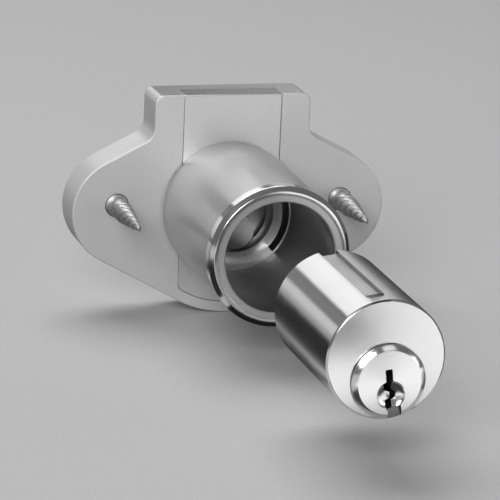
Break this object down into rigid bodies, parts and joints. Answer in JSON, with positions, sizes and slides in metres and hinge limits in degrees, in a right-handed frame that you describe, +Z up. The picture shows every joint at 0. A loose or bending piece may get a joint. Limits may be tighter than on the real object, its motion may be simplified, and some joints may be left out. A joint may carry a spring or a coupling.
{
  "type": "drawer lock",
  "caption": "Drawer lock with a removable round pin-tumbler cylinder, a long barrel through the drawer front, a bell-shaped case and a rising bolt.",
  "frame": {"origin": "where the barrel's axis meets the case's mounting face, which lies on the back of the drawer front", "axes": "-Y out of the drawer front along the barrel, +Z up the way the bolt rises, +X to the right seen from the front"},
  "size_m": [0.0668, 0.1172, 0.0466],
  "materials": {
    "cast_case": "satin cast zinc, light grey",
    "turned_barrel": "fine-turned satin",
    "bright_ring": "polished, turned",
    "small_screw": "bright zinc plate",
    "screw_steel": "dull plated steel",
    "spring_steel": "ground steel",
    "bolt_steel": "milled satin steel",
    "brass": "machined brass",
    "cylinder_plate": "satin nickel or chrome plate, turned",
    "cover_strip": "drawn strip",
    "plug_plate": "satin plated",
    "nickel_silver": "turned nickel silver"
  },
  "bodies": {
    "case": {"case": "cast_case", "barrel": "turned_barrel", "trim_ring": "bright_ring", "barrel_screws": "small_screw", "wood_screw_left": "screw_steel", "wood_screw_right": "screw_steel", "guide_key": "spring_steel"},
    "bolt": {"bolt": "bolt_steel"},
    "driver": {"driver": "bolt_steel", "crank": "bolt_steel", "crank_pin": "spring_steel", "crank_screw": "small_screw"},
    "cylinder": {"cylinder_shell": "cylinder_plate", "spring_cover": "cover_strip", "driver_pin_1": "nickel_silver", "driver_pin_2": "nickel_silver", "driver_pin_3": "nickel_silver", "driver_pin_4": "nickel_silver", "driver_pin_5": "nickel_silver", "driver_pin_6": "nickel_silver", "pin_spring_1": "spring_steel", "pin_spring_2": "spring_steel", "pin_spring_3": "spring_steel", "pin_spring_4": "spring_steel", "pin_spring_5": "spring_steel", "pin_spring_6": "spring_steel"},
    "plug": {"plug": "plug_plate", "plug_clip": "spring_steel", "key_pin_1": "brass", "key_pin_2": "brass", "key_pin_3": "brass", "key_pin_4": "brass", "key_pin_5": "brass", "key_pin_6": "brass"}
  },
  "joints": [
    {"name": "cylinder_slide", "type": "slide", "parent": "case", "child": "cylinder", "axis": [0, 1, 0], "range_m": [0, 0.0656]},
    {"name": "plug_turn", "type": "hinge", "parent": "cylinder", "child": "plug", "pos_m": [0.00052, -0.0721, -0.00397], "axis": [0, -1, 0], "range_deg": [0, 90]},
    {"name": "driver_turn", "type": "hinge", "parent": "case", "child": "driver", "pos_m": [0.00052, 0, -0.00397], "axis": [0, -1, 0], "range_deg": [0, 90]},
    {"name": "bolt_slide", "type": "slide", "parent": "case", "child": "bolt", "axis": [0, 0, 1], "range_m": [0, 0.0095]}
  ],
  "couplings": [
    {"joint": "plug_turn", "follows": "bolt_slide", "rad_per_m": 165.35},
    {"joint": "driver_turn", "follows": "bolt_slide", "rad_per_m": 165.35}
  ]
}
